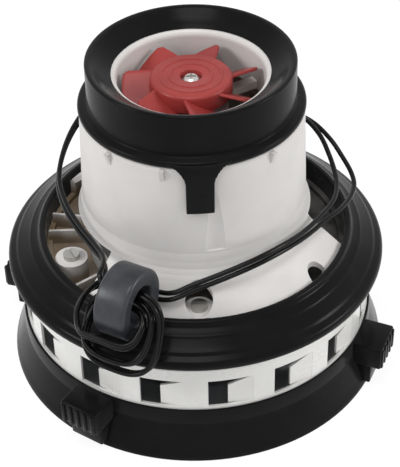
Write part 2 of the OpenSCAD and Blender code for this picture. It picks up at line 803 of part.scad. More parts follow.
module impeller_nut() {
    top_z = lower_z + lower_h - hub_h - washer_t;
    color(steel_grey)
        difference() {
            translate([0, 0, top_z - nut_h]) cylinder(d = nut_af / cos(30), h = nut_h, $fn = 6);
            rod(shaft_r + seat_gap, top_z - nut_h - 1, top_z + 1);
        }
}

// Two-pole stator: one ring, with the spaces for the coils and between the pole tips cut out
module stator_core() {
    low_z = stack_z - 1;
    high_z = stack_top_z + 1;
    color(lamination)
        difference() {
            ring(pole_r, stator_r, stack_z, stack_top_z);
            for (angle = [90, 270]) {
                sector(pole_r + pole_tip_t, yoke_r, low_z, high_z, angle + pole_half, angle + 180 - pole_half);
                sector(pole_r - 1, pole_r + pole_tip_t + 1, low_z, high_z,
                    angle + tip_half, angle + 180 - tip_half);
            }
            for (side = [-1, 1])
                translate([-10, side * 44.5 - 5, low_z]) cube([20, 10, high_z - low_z]);
        }
}

// Field coil: wound round one pole, with its ends over and under the laminations
module field_coil(angle) {
    coil_in = pole_r + pole_tip_t + 0.4;
    coil_out = yoke_r - 0.5;
    difference() {
        sector(coil_in, coil_out, stack_z - winding_h, stack_top_z + winding_h,
            angle - tip_half + 1, angle + tip_half - 1);
        sector(coil_in - 1, coil_out + 1, stack_z - 0.4, stack_top_z + 0.4,
            angle - pole_half - 1, angle + pole_half + 1);
    }
}

module field_coil_front() {
    color(copper) field_coil(270);
}

module field_coil_back() {
    color(copper) field_coil(90);
}

function holder_low_z() = brush_z - brush_h / 2 - slide_gap - holder_wall;

// Brush holder: a square tube that points at the commutator, closed at its outer end
module brush_holder(angle) {
    gap_w = brush_w + 2 * slide_gap;
    gap_h = brush_h + 2 * slide_gap;
    rotate([0, 0, angle])
        difference() {
            radial_block(holder_in, holder_out, gap_w + 2 * holder_wall, holder_low_z(),
                holder_low_z() + gap_h + 2 * holder_wall);
            radial_block(holder_in - 1, holder_out - holder_end_t, gap_w,
                holder_low_z() + holder_wall, holder_low_z() + holder_wall + gap_h);
            translate([holder_out - 3, 0, brush_z]) rotate([0, 90, 0]) cylinder(r = 1.2, h = 4);
        }
}

module brush_holder_right() {
    color(brass) brush_holder(0);
}

module brush_holder_left() {
    color(brass) brush_holder(180);
}

module brush(angle) {
    rotate([0, 0, angle])
        difference() {
            radial_block(brush_in - 2, brush_in + brush_len, brush_w,
                brush_z - brush_h / 2, brush_z + brush_h / 2);
            rod(brush_in, brush_z - brush_h, brush_z + brush_h);
        }
}

module brush_right() {
    color(carbon) brush(0);
}

module brush_left() {
    color(carbon) brush(180);
}

// Coil spring between the brush and the closed end of its holder
module brush_spring(angle) {
    from = brush_in + brush_len + spring_wire / 2 + 0.1;
    to = holder_out - holder_end_t - spring_wire / 2 - 0.1;
    steps = 8 * spring_turns;
    route = [
        for (i = [0 : steps])
            [
                from + (to - from) * i / steps,
                spring_r * cos(45 * i),
                brush_z + spring_r * sin(45 * i)
            ]
    ];
    rotate([0, 0, angle]) tube(route, spring_wire, 6, [1, 0, 0]);
}

module brush_spring_right() {
    color(steel_grey) brush_spring(0);
}

module brush_spring_left() {
    color(steel_grey) brush_spring(180);
}

// Ball bearing rings, each with its groove for the balls
module ball_groove(z) {
    rotate_extrude() translate([ball_ring_r, z + bearing_w / 2]) circle(r = groove_r);
}

module bearing_outer(z) {
    color(steel_grey)
        difference() {
            ring(bearing_r - race_t, bearing_r, z, z + bearing_w);
            ball_groove(z);
        }
}

module bearing_inner(z) {
    color(steel_grey)
        difference() {
            ring(shaft_r + seat_gap, shaft_r + race_t, z, z + bearing_w);
            ball_groove(z);
        }
}

module bearing_balls(z) {
    cage_half = 0.5;
    cage_reach = bearing_w * 0.4;
    color(steel_grey)
        translate([0, 0, z + bearing_w / 2]) {
            difference() {
                ring(ball_ring_r - cage_half, ball_ring_r + cage_half, -cage_reach, cage_reach);
                for (i = [0 : ball_count - 1])
                    at(360 * i / ball_count, ball_ring_r - 2, 0)
                        rotate([0, 90, 0]) cylinder(r = ball_r + 0.12, h = 4);
            }
            for (i = [0 : ball_count - 1]) at(360 * i / ball_count, ball_ring_r, 0) sphere(ball_r);
        }
}

module upper_bearing_outer() { bearing_outer(upper_bearing_z); }
module upper_bearing_inner() { bearing_inner(upper_bearing_z); }
module upper_bearing_balls() { bearing_balls(upper_bearing_z); }
module lower_bearing_outer() { bearing_outer(lower_bearing_z); }
module lower_bearing_inner() { bearing_inner(lower_bearing_z); }
module lower_bearing_balls() { bearing_balls(lower_bearing_z); }

module shaft() {
    spindle_z = fan_boss_z - seat_gap;
    spindle_top_z = fan_boss_z + fan_boss_h;
    color(steel_grey)
        difference() {
            union() {
                rod(shaft_r, shaft_low_z, spindle_z);
                rod(spindle_r, shaft_low_z, spindle_top_z);
            }
            rod(screw_r + seat_gap, spindle_top_z - screw_hole_len, spindle_top_z + 1);
        }
}

module armature_core() {
    color(lamination)
        difference() {
            ring(shaft_r + seat_gap, armature_r, stack_z, stack_top_z);
            for (i = [0 : armature_slots - 1])
                rotate([0, 0, 360 * i / armature_slots]) {
                    translate([slot_pos_r, 0, 0]) rod(slot_r, stack_z - 1, stack_top_z + 1);
                    radial_block(slot_pos_r, armature_r + 1, 1.8, stack_z - 1, stack_top_z + 1);
                }
        }
}

// Wire in the armature's slots and the rounded heads at both ends
module armature_winding() {
    head_in = shaft_r + 2.5;
    head_out = armature_r - 2;
    color(copper) {
        for (i = [0 : armature_slots - 1])
            at(360 * i / armature_slots, slot_pos_r, 0) rod(slot_r - 0.2, stack_z - 2, stack_top_z + 2);
        for (z = [stack_z - winding_h, stack_top_z + 0.3])
            rotate_extrude()
                polygon([
                    [head_in, z], [head_out - 1.6, z], [head_out, z + 1.6],
                    [head_out, z + winding_h - 1.9], [head_out - 1.6, z + winding_h - 0.3],
                    [head_in, z + winding_h - 0.3]
                ]);
    }
}

module commutator() {
    color(copper)
        difference() {
            union() {
                ring(shaft_r + seat_gap, comm_r, comm_z, comm_z + comm_h);
                ring(shaft_r + seat_gap, riser_r, comm_z, comm_z + riser_h);
            }
            for (i = [0 : segments - 1])
                rotate([0, 0, 360 * i / segments])
                    radial_block(comm_r - 1.2, riser_r + 1, 0.6, comm_z - 1, comm_z + comm_h + 1);
        }
}

module cooling_fan() {
    round_r = 1.4;
    plate_z = fan_top_z - hub_plate_t;
    skirt_t = 1.6;
    color(fan_red) {
        rotate_extrude()
            difference() {
                union() {
                    translate([spindle_r + seat_gap, fan_boss_z])
                        square([fan_boss_r - spindle_r - seat_gap, fan_boss_h]);
                    translate([recess_r, plate_z - 0.8])
                        square([hub_r - round_r - recess_r, hub_plate_t + 0.8]);
                    translate([hub_r - skirt_t, fan_top_z - hub_skirt_h])
                        square([skirt_t, hub_skirt_h - round_r]);
                    translate([hub_r - round_r, fan_top_z - round_r]) circle(r = round_r);
                    for (r = [0.5, 0.72]) translate([hub_r * r, fan_top_z - 0.5]) square([0.9, 0.75]);
                }
            }
        for (i = [0 : fan_blades - 1]) rotate([0, 0, 360 * i / fan_blades + blade_angle]) fan_blade();
    }
}

// Flat blade set at a pitch, trimmed to the fan's outer diameter
module fan_blade() {
    intersection() {
        translate([(hub_r + fan_r) / 2, 0, blade_z])
            rotate([-blade_pitch, 0, 0]) cube([fan_r, blade_chord, blade_t], center = true);
        ring(hub_r - 0.6, fan_r, blade_z - blade_chord, blade_z + blade_chord);
    }
}

module fan_washer() {
    z = fan_boss_z + fan_boss_h;
    color(steel_grey) ring(screw_r + seat_gap, recess_r - 0.2, z, z + fan_washer_t);
}

module fan_screw() {
    head_z = fan_boss_z + fan_boss_h + fan_washer_t;
    color(steel_grey)
        difference() {
            union() {
                rod(screw_r, head_z - 10, head_z + 0.5);
                rod(screw_head_r, head_z, head_z + 1.2);
                rotate_extrude()
                    polygon([[0, head_z + 1], [screw_head_r, head_z + 1.2],
                        [screw_head_r - 0.9, head_z + 1.9], [0, head_z + 2.1]]);
            }
            for (angle = [0, 90])
                rotate([0, 0, angle]) translate([-1.9, -0.4, head_z + 1]) cube([3.8, 0.8, 2]);
        }
}

module ferrite_core() {
    color(core_grey)
        translate(core_pos)
            rotate([0, 0, core_angle])
                rotate([0, 90, 0])
                    rotate_extrude()
                        polygon([
                            for (corner = [
                                [core_r - core_round, core_len / 2 - core_round, 0],
                                [core_bore_r + core_round, core_len / 2 - core_round, 90],
                                [core_bore_r + core_round, core_round - core_len / 2, 180],
                                [core_r - core_round, core_round - core_len / 2, 270]
                            ], step = [0 : 30 : 90])
                                [
                                    corner[0] + core_round * cos(corner[2] + step),
                                    corner[1] + core_round * sin(corner[2] + step)
                                ]
                        ]);
}

// Rubber bush in the back of the housing, where both wires come out
module lead_grommet() {
    out_r = housing_low_r + 2;
    color(rubber_black)
        rotate([0, 0, grommet_angle])
            translate([0, 0, grommet_z])
                rotate([0, 90, 0]) {
                    translate([0, 0, housing_top_r - 3]) cylinder(r = grommet_r, h = out_r - housing_top_r + 3);
                    translate([0, 0, housing_low_r - 0.2]) cylinder(r = grommet_r + 1.4, h = 2.2);
                }
}

// Plain two-way plug housing at the far end of the lead
module lead_connector() {
    color(housing_white)
        difference() {
            translate(connector_pos) cube(connector_size, center = true);
            for (side = [-1, 1])
                translate(connector_pos + [-connector_size[0] / 2, side * connector_size[1] / 4, 0])
                    cube([12, 2.2, 4.4], center = true);
        }
}

module live_feed() {
    color(rubber_black) tube(feed(live_feed_start, live_feed_route, live_feed_core, wire_side), wire_d, 8);
}

module live_winding() {
    color(rubber_black) translate(core_pos) rotate([0, 0, core_angle]) tube(winding(wire_side), wire_d, 6);
}

module live_tail() {
    color(rubber_black) tube(tail(live_tail_core, live_tail_route, live_tail_end, wire_side), wire_d, 8);
}

module neutral_feed() {
    color(rubber_black)
        tube(feed(neutral_feed_start, neutral_feed_route, neutral_feed_core, -wire_side), wire_d, 8);
}

module neutral_winding() {
    color(rubber_black) translate(core_pos) rotate([0, 0, core_angle]) tube(winding(-wire_side), wire_d, 6);
}

module neutral_tail() {
    color(rubber_black)
        tube(tail(neutral_tail_core, neutral_tail_route, neutral_tail_end, -wire_side), wire_d, 8);
}

base_seal();
fan_case();
case_cover();
mid_ring();
motor_housing();
top_mount();
housing_screws();
stage_plate();
return_guide();
stator_core();
field_coil_front();
field_coil_back();
brush_holder_right();
brush_holder_left();
brush_right();
brush_left();
brush_spring_right();
brush_spring_left();
upper_bearing_outer();
upper_bearing_inner();
upper_bearing_balls();
lower_bearing_outer();
lower_bearing_inner();
lower_bearing_balls();
shaft();
armature_core();
armature_winding();
commutator();
cooling_fan();
fan_washer();
fan_screw();
impeller_upper();
impeller_lower();
impeller_spacer();
bearing_spacer();
impeller_washer();
impeller_nut();
ferrite_core();
lead_grommet();
lead_connector();
live_feed();
live_winding();
live_tail();
neutral_feed();
neutral_winding();
neutral_tail();
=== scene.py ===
# %% [markdown]
# # Vacuum motor unit
# This is the motor of a wet and dry vacuum cleaner. The CAD frame holds every piece of it at its real
# size. This scene gives the pieces their looks: the camera of the photograph, two lead wires, rounded
# rubber and plastic, materials and light. A piece that the CAD already shows well keeps its mesh and only
# gets a material. Sizes are written in millimetres, and become metres where Blender gets them.

# %% Load the CAD frame and measure it
import json
import math

import bmesh
import bpy
from mathutils import Matrix, Vector


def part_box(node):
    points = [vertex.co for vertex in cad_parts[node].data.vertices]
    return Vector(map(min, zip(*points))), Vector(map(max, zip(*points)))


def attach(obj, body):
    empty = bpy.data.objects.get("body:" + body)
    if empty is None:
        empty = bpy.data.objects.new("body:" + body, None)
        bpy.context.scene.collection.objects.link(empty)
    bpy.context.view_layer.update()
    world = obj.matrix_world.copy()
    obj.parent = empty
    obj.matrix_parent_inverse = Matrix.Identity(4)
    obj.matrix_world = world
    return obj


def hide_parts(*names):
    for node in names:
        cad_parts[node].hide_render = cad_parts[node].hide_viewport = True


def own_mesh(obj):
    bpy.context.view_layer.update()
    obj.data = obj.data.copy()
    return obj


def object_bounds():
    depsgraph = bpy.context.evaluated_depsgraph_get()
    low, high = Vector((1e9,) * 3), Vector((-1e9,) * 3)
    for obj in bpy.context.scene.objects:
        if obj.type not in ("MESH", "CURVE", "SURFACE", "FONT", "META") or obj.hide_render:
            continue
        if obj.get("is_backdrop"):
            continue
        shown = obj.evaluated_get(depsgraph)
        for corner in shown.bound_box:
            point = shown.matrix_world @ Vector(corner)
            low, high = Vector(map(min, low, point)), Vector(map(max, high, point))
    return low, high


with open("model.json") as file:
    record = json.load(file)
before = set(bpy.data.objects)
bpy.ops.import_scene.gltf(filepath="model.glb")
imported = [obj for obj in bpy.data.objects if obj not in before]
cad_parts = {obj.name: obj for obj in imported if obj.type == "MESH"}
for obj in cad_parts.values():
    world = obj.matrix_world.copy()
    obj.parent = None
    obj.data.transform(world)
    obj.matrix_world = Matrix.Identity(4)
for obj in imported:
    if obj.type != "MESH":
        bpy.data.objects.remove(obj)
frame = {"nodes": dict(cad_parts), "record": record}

nodes = frame["nodes"]
scene = bpy.context.scene
mm = 0.001
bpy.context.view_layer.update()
print("CAD nodes:", len(nodes))

# %% [markdown]
# ## Camera
# A camera can be placed by eye, or fitted to shapes of known form. The rims of this motor are circles,
# so it was fitted to eight of them, on the top mount, the middle ring and the base seal. It looks along
# +Y and down, from a little over half a metre, and leans slightly to one side. The Standard view shows
# colours as they are written.

# %% Camera
elevation = math.radians(38.875)
roll = math.radians(-1.369)
target = Vector((1.94, 0, 51.69)) * mm
distance = 589.8 * mm
ahead = Vector((0, math.cos(elevation), -math.sin(elevation)))
level_up = Vector((0, math.sin(elevation), math.cos(elevation)))
level_right = Vector((1, 0, 0))
right = level_right * math.cos(roll) + level_up * math.sin(roll)
up = level_up * math.cos(roll) - level_right * math.sin(roll)

camera = bpy.data.objects.new("camera", bpy.data.cameras.new("camera"))
scene.collection.objects.link(camera)
camera.data.sensor_width = 36
camera.data.lens = 110.2
camera.data.clip_start = 0.01
facing = Matrix((right, up, -ahead)).transposed().to_4x4()
camera.matrix_world = Matrix.Translation(target - ahead * distance) @ facing
scene.camera = camera
scene.view_settings.view_transform = "Standard"
print("Camera at", [round(x, 3) for x in camera.location], "lens", camera.data.lens)

# %% [markdown]
# ## Directions of the ferrite core
# The lead is wound through a ring of ferrite that hangs in front, turned a little to one side. Points
# near it are easier to give in the ring's own directions: along its hole, towards the motor, and up. One
# helper turns them into the motor's coordinates.

# %% Directions of the core
core_centre = Vector((-25.6, -64.8, 72.95))
core_turn = Matrix.Rotation(math.radians(-29), 3, "Z")


def from_core(point):
    """Turns a point in the core's own directions into the motor's coordinates."""
    return core_centre + core_turn @ Vector(point)


print("The core's hole points along", [round(x, 2) for x in core_turn @ Vector((1, 0, 0))])

# %% [markdown]
# ## Winding
# Each wire goes three times through the core's hole and back round its outside. The turns could be typed
# point by point, but they differ in a regular way, so a formula makes them: a higher turn is longer,
# leans more and hangs lower. Round turns would cut through the ring, so sine and cosine are raised to a
# power below 1, which makes the turns nearly square.

# %% Winding through the core
wire_diameter = 2.0
passes = 3
steps_per_turn = 24
squareness = 0.68


def squared(x):
    """A sine or cosine, drawn out towards 1 or -1."""
    return math.copysign(abs(x) ** squareness, x)


def winding_point(turn, side):
    """A point of the winding, in the core's own directions. The side keeps the two wires apart."""
    inner = 4.8 - 3.2 * turn
    outer = 15.4 + 4.8 * turn
    half_length = 8.4 + 2.5 * turn
    lean = math.radians(-13 - 21 * turn)
    angle = math.radians(90 + 360 * turn)
    along = half_length * squared(math.cos(angle))
    out = (inner + outer) / 2 - (outer - inner) / 2 * squared(math.sin(angle))
    return Vector((
        along,
        -out * math.cos(lean) + side * math.sin(lean),
        out * math.sin(lean) + side * math.cos(lean),
    ))


def winding(side):
    """The winding from the feed's end to the tail's start, with a straight stretch at both ends."""
    steps = range(steps_per_turn * passes, steps_per_turn // 2 - 1, -1)
    loops = [winding_point(i / steps_per_turn, side) for i in steps]
    feed_end = [Vector((x, loops[0].y, loops[0].z)) for x in (-10.3, -8.5, -6.5, -3)]
    tail_start = [Vector((x, loops[-1].y, loops[-1].z)) for x in (-3, -6, -8, -9.8)]
    return feed_end + loops + tail_start


print("Points of one winding:", len(winding(side=0)))

# %% [markdown]
# ## Smooth curve
# A wire bends smoothly between the points of its route, which are far apart on the long runs and close
# together in the winding. A curve with handles would need two of them at every point. Here each stretch is
# blended from straight lines between its four nearest points. The steps follow the square root of each
# gap, so the curve doesn't overshoot where long and short gaps meet.

# %% Smooth curve
points_per_gap = 24


def curve_point(a, b, c, d, share):
    """A point between b and c, on the smooth curve through all four."""
    t1 = (b - a).length ** 0.5
    t2 = t1 + (c - b).length ** 0.5
    t3 = t2 + (d - c).length ** 0.5
    t = t1 + (t2 - t1) * share
    ab = a.lerp(b, t / t1)
    bc = b.lerp(c, share)
    cd = c.lerp(d, (t - t2) / (t3 - t2))
    abc = ab.lerp(bc, t / t2)
    bcd = bc.lerp(cd, (t - t1) / (t3 - t1))
    return abc.lerp(bcd, share)


def smooth_route(points, step):
    """Points about one step apart, on a smooth curve through the given ones."""
    ends = [2 * points[0] - points[1], *points, 2 * points[-1] - points[-2]]
    fine = []
    for a, b, c, d in zip(ends, ends[1:], ends[2:], ends[3:]):
        fine += [curve_point(a, b, c, d, i / points_per_gap) for i in range(points_per_gap)]
    fine.append(points[-1])
    route = [fine[0]]
    walked = 0.0
    for a, b in zip(fine, fine[1:]):
        walked += (b - a).length
        if walked >= step:
            route.append(b)
            walked = 0.0
    route[-1] = fine[-1]
    return route


def route_length(route):
    return sum((b - a).length for a, b in zip(route, route[1:]))


route_step = 0.8
print("Wire in one winding:", round(route_length(smooth_route(winding(side=0), route_step))), "mm")

# %% [markdown]
# ## Routes of the wires
# Each wire leaves the grommet at the back, goes round the left side to the core, is wound through it, and
# goes round the right side to the connector. The points are those of the CAD source: in sight they follow
# the photograph, and behind the motor they take the shortest easy way.

# %% Points of both routes
wire_points = {
    "live": {
        "feed": [
            (-16.1, 44.2, 97.3), (-17.1, 47, 97.3), (-18.5, 50.5, 97.2), (-24, 53, 96.5), (-33, 49.5, 94),
            (-42, 41, 90.5), (-49, 29, 87), (-53, 15, 83.5), (-54, 2, 80), (-50.5, -12, 78),
            (-44.6, -25, 77), (-39, -36, 77),
        ],
        "into_core": [(-15.4, 12.6, 5.4), (-14, 6.6, 7), (-12.2, 1.6, 6.8)],
        "side": 1.25,
        "out_of_core": [
            (-12, -15.4, -5), (-15.4, -10.4, -3.2), (-16.8, -3, -2), (-16.6, 5, -2.2), (-14.2, 11.4, -3.4),
            (-9, 15, -4.8), (-2, 15.6, -5.6), (5, 15.2, -5.6), (10.6, 16, -4.4),
        ],
        "tail": [
            (-1.5, -53.8, 70.2), (10.6, -50.6, 73.2), (22.9, -45.8, 75.6), (34, -37.2, 75.4),
            (42.6, -26.4, 73), (50.5, -14.4, 71.6), (56, -4, 70.8), (58.2, 6, 70.6), (58, 14, 71.4),
            (56.2, 23, 74), (53, 32, 77.5), (47, 41, 80), (38, 48.5, 80), (28, 54, 77), (20, 57.5, 72),
            (14.5, 58.4, 68.4), (11.8, 58.4, 67.2), (9, 58.4, 67.2),
        ],
    },
    "neutral": {
        "feed": [
            (-16.1, 44.2, 94.7), (-17.1, 47, 94.7), (-18.5, 50.5, 94.6), (-24, 53, 93.9), (-33, 49.5, 91.4),
            (-42, 41, 87.9), (-49.4, 29, 84.4), (-53.6, 15, 80.9), (-54.6, 2, 77.4), (-51.1, -12, 75.4),
            (-45.2, -25, 74.4), (-39.6, -36, 74.4),
        ],
        "into_core": [(-15.8, 12.8, 2.6), (-14.4, 8.6, 3.4), (-12.4, 5, 3.9)],
        "side": -1.25,
        "out_of_core": [
            (-12.4, -14.6, -7.4), (-16.4, -9.6, -5.6), (-18.4, -2.6, -4.4), (-18, 4.6, -4.6),
            (-14.8, 10, -5.8), (-9, 13, -7.2), (-2, 13.7, -7.9), (5, 13.6, -7.9), (10.6, 15, -6.8),
        ],
        "tail": [
            (-1.6, -54.2, 67.6), (10.6, -51, 70.6), (22.9, -46.2, 73), (34, -37.6, 72.8), (42.8, -27, 70.4),
            (51.2, -15.4, 68.6), (58.4, -6, 67.2), (63.4, 3, 66.2), (66, 11.5, 66.2), (65.4, 19, 67.2),
            (62.4, 26, 70), (57.6, 34, 74), (50, 43.4, 77), (40, 51, 77.2), (29, 57, 74.4),
            (20.6, 60.4, 70), (14.5, 61.2, 68), (11.8, 61.2, 67.2), (9, 61.2, 67.2),
        ],
    },
}
print("Stretches of a wire:", list(wire_points["live"]))

# %% [markdown]
# The stretches are put end to end. Just before the core, the points make a small hook that a springy wire
# would even out, so they are eased there: each one moves half-way to the line between its neighbours.

# %% Routes of both wires
def eased(points):
    """The same points, with each bend between the ends drawn in by half."""
    inner = [(a + 2 * b + c) / 4 for a, b, c in zip(points, points[1:], points[2:])]
    return [points[0], *inner, points[-1]]


routes = {}
for name, stretches in wire_points.items():
    feed = [Vector(p) for p in stretches["feed"]]
    into_core = [from_core(p) for p in stretches["into_core"]]
    wound = [from_core(p) for p in winding(stretches["side"]) + stretches["out_of_core"]]
    tail = [Vector(p) for p in stretches["tail"]]
    points = feed[:-2] + eased(feed[-2:] + into_core) + wound + tail
    routes[name] = smooth_route(points, route_step)
    print(name, "route:", round(route_length(routes[name])), "mm,", len(routes[name]), "points")

# %% [markdown]
# ## Lead wires
# The lead is two single wires in a smooth black sleeve. A wire could be a mesh tube, but a curve with a
# round bevel is shorter to write and stays smooth. Blender counts a curve's box from the radius of its
# points, so the wire's radius is set there, in metres, and the bevel's depth is 1. Each new piece also
# goes on a list with its finish, for the step that hands out the materials.

# %% Lead wires
dressed = []
wires = {}
for name, route in routes.items():
    line = bpy.data.curves.new(f"{name}_wire", "CURVE")
    line.dimensions = "3D"
    line.bevel_depth = 1.0
    line.bevel_resolution = 3
    line.use_fill_caps = True
    spline = line.splines.new("POLY")
    spline.points.add(len(route) - 1)
    for spline_point, place in zip(spline.points, route):
        spline_point.co = (*(place * mm), 1.0)
        spline_point.radius = wire_diameter / 2 * mm
    wire = bpy.data.objects.new(f"{name}_wire", line)
    scene.collection.objects.link(wire)
    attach(wire, "motor_frame")
    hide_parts(f"{name}_feed", f"{name}_winding", f"{name}_tail")
    wires[name] = wire
    dressed.append((wire, "wire_sleeve"))
print("Wires:", list(wires))

# %% [markdown]
# ## Middle ring, turned
# A ring of soft black rubber sits on the edge of the fan case. It has a lip round its inside, a slope
# with two low ridges, and a rim, whose light edges run round it in the photograph. It could be a stack of
# cylinders, but most pieces here are round about one axis, so they are turned: the cross-section is a few
# vertices joined by edges, a bevel rounds each corner as the mould does, and a full spin makes the solid.

# %% Middle ring turned
def turned(outline, rounding, steps=128, segments=3):
    """Spins a closed outline of (radius, height) points about Z. Each point has its own rounding."""
    bm = bmesh.new()
    corners = [bm.verts.new((r * mm, 0, z * mm)) for r, z in outline]
    for a, b in zip(corners, corners[1:] + corners[:1]):
        bm.edges.new((a, b))
    for radius in sorted(set(rounding)):
        bmesh.ops.bevel(
            bm, geom=[v for v, r in zip(corners, rounding) if r == radius], offset=radius * mm,
            offset_type="OFFSET", affect="VERTICES", segments=segments, profile=0.5, material=-1,
        )
    bmesh.ops.spin(
        bm, geom=bm.verts[:] + bm.edges[:], cent=(0, 0, 0), axis=(0, 0, 1), dvec=(0, 0, 0),
        angle=2 * math.pi, steps=steps, use_merge=True, use_duplicate=False,
    )
    return bm


ring_outline = [
    (61.1, 48), (61.1, 60.4), (63.6, 60.4), (64.1, 58.4), (66.2, 57.25), (67.5, 56.75), (68.1, 56.15),
    (71.2, 54.05), (72.9, 53.05), (73.6, 52.2), (75.9, 51.2), (77.0, 49.8), (76.8, 47.4), (74.5, 46.9),
    (72.1, 46.9), (72.1, 48),
]
ring_rounding = [0.2, 0.9, 0.9, 0.7, 0.7, 0.4, 0.4, 0.8, 0.5, 0.4, 0.6, 0.9, 0.9, 0.5, 0.15, 0.15]
ring = turned(ring_outline, ring_rounding)
print("Middle ring:", len(ring.faces), "faces")

# %% [markdown]
# ## Middle ring, finished
# A new mesh is ready when its doubles are merged, its faces point outwards, and its
# gentle edges are shaded smooth while the sharp ones stay sharp. The piece then rides on a body of the
# motor, hides the CAD node it stands for and goes on the list with the finish it takes. Every new piece goes
# this way.

# %% Middle ring finished
sharp_from = math.radians(38)


def finish_piece(name, bm, body, slot, replaced):
    """Closes the mesh, makes an object at the origin, puts it on its body, hides the node it replaces."""
    bmesh.ops.remove_doubles(bm, verts=bm.verts, dist=1e-6)
    bmesh.ops.recalc_face_normals(bm, faces=bm.faces)
    for face in bm.faces:
        face.smooth = True
    for edge in bm.edges:
        edge.smooth = edge.calc_face_angle(0.0) < sharp_from
    mesh_data = bpy.data.meshes.new(name)
    bm.to_mesh(mesh_data)
    bm.free()
    piece = bpy.data.objects.new(name, mesh_data)
    scene.collection.objects.link(piece)
    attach(piece, body)
    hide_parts(replaced)
    dressed.append((piece, slot))
    print(name, "faces:", len(mesh_data.polygons))
    return piece


finish_piece("rubber_mid_ring", ring, "motor_frame", "black_rubber", "mid_ring")

# %% [markdown]
# ## Base seal, skirt
# The motor stands on a flared rubber skirt with a hollow under its rim. It is round, so it is turned like
# the ring. The crease where the flare begins is a corner of the outline with a large rounding.

# %% Skirt of the base seal
seal_outline = [
    (62, 0), (73.5, 0), (73.7, 4.6), (74.5, 4.6), (76.9, 0), (78.5, 0), (78.2, 1.6), (77.0, 4.6),
    (74.4, 12.2), (73.3, 15.6), (73.0, 22.6), (72.1, 22.6), (72.1, 3), (62, 3),
]
seal_rounding = [0.3, 0.3, 0.3, 0.3, 0.4, 0.6, 0.6, 1.2, 1.2, 0.4, 0.35, 0.2, 0.2, 0.3]
seal = turned(seal_outline, seal_rounding)
print("Skirt:", len(seal.faces), "faces")

# %% [markdown]
# ## Base seal, lugs
# Three stepped lugs with ribbed faces key the seal into the appliance. A lug could be cut from one block,
# but a few rounded blocks that sit in each other are simpler, and their joints hide inside the rubber.
# Each block is a cube, scaled, moved, bevelled on all its edges and turned about the motor's axis.

# %% Lugs of the base seal
def join(bm, part):
    """Adds the mesh of a part to another mesh."""
    part_mesh = bpy.data.meshes.new("part")
    part.to_mesh(part_mesh)
    part.free()
    bm.from_mesh(part_mesh)
    bpy.data.meshes.remove(part_mesh)


def block(out, across, up, rounding, azimuth, segments=3):
    """A block with rounded edges between these limits, then turned about Z."""
    limits = (out, across, up)
    bm = bmesh.new()
    bmesh.ops.create_cube(bm, size=1.0)
    bmesh.ops.scale(bm, vec=Vector([b - a for a, b in limits]) * mm, verts=bm.verts)
    bmesh.ops.translate(bm, vec=Vector([(a + b) / 2 for a, b in limits]) * mm, verts=bm.verts)
    bmesh.ops.bevel(
        bm, geom=bm.edges[:], offset=rounding * mm, affect="EDGES", segments=segments, profile=0.5,
        material=-1,
    )
    turn = Matrix.Rotation(math.radians(azimuth), 3, "Z")
    bmesh.ops.rotate(bm, cent=(0, 0, 0), matrix=turn, verts=bm.verts)
    return bm


lug_azimuths = (-24, -124, 163)
upper_block = {"out": (72.4, 84.6), "across": (-8.5, 8.5), "up": (11.7, 22.3), "rounding": 0.9}
lower_block = {"out": (73.0, 80.4), "across": (-7.5, 7.5), "up": (2.0, 12.7), "rounding": 0.8}
rib_block = {"out": (83.6, 85.3), "up": (12.1, 21.5), "rounding": 0.45, "segments": 2}
rib_width = 1.7
rib_middles = [2 * rib_width * i for i in range(-2, 3)]
for azimuth in lug_azimuths:
    join(seal, block(**upper_block, azimuth=azimuth))
    join(seal, block(**lower_block, azimuth=azimuth))
    for middle in rib_middles:
        sides = (middle - rib_width / 2, middle + rib_width / 2)
        join(seal, block(**rib_block, across=sides, azimuth=azimuth))
finish_piece("rubber_base_seal", seal, "motor_frame", "black_rubber", "base_seal")

# %% [markdown]
# ## Top mount, collar
# A rubber collar sits on the bowl of the housing and holds the motor's upper end. It has a straight
# outside, a funnel mouth and a bead at its foot. It is turned too, with one more segment in each
# rounding, because it is nearest to the camera.

# %% Collar of the top mount
collar_outline = [
    (32.6, 116.42), (44, 116.42), (44, 119.32), (40.2, 119.32), (40.2, 136.8), (38.2, 136.8),
    (34.4, 133.5), (30.2, 131.0), (32.6, 131.0),
]
collar_rounding = [0.2, 1.2, 1.2, 0.8, 0.9, 0.9, 2.0, 0.35, 0.2]
collar = turned(collar_outline, collar_rounding, segments=4)
print("Collar:", len(collar.faces), "faces")

# %% [markdown]
# ## Top mount, tab drawn flat
# One tab hangs down from the collar in front, with a hollow corner on both sides of its root. Such an
# outline is hard to draw on a round wall. So it is drawn flat, as one face, and cut into narrow strips,
# which lets it bend in the next step.

# %% Tab drawn flat
tab_half = 5.1
tab_end = 98.0
tab_top = 118.7
tab_edge = 0.6
tab_fillet = 7.0
tab_step = 109.8
tab_root = tab_half + tab_fillet
fillet_height = tab_top - tab_edge - tab_fillet
right_side = [(tab_half, tab_end)]
for degrees in range(180, 89, -10):
    angle = math.radians(degrees)
    across = tab_root + tab_fillet * math.cos(angle)
    right_side.append((across, fillet_height + tab_fillet * math.sin(angle)))
right_side.append((tab_root, tab_top))
tab_outline = right_side + [(-x, z) for x, z in reversed(right_side)]

tab = bmesh.new()
tab.faces.new([tab.verts.new((x * mm, 0, z * mm)) for x, z in tab_outline])
cuts = [(Vector((x, 0, 0)), (1, 0, 0)) for x in range(-12, 13)]
cuts += [(Vector((0, 0, z)), (0, 0, 1)) for z in (tab_step, 112.5, 114.5, 116.5)]
for place, normal in cuts:
    geom = tab.verts[:] + tab.edges[:] + tab.faces[:]
    bmesh.ops.bisect_plane(tab, geom=geom, plane_co=place * mm, plane_no=normal)
print("Tab:", len(tab.faces), "flat faces")

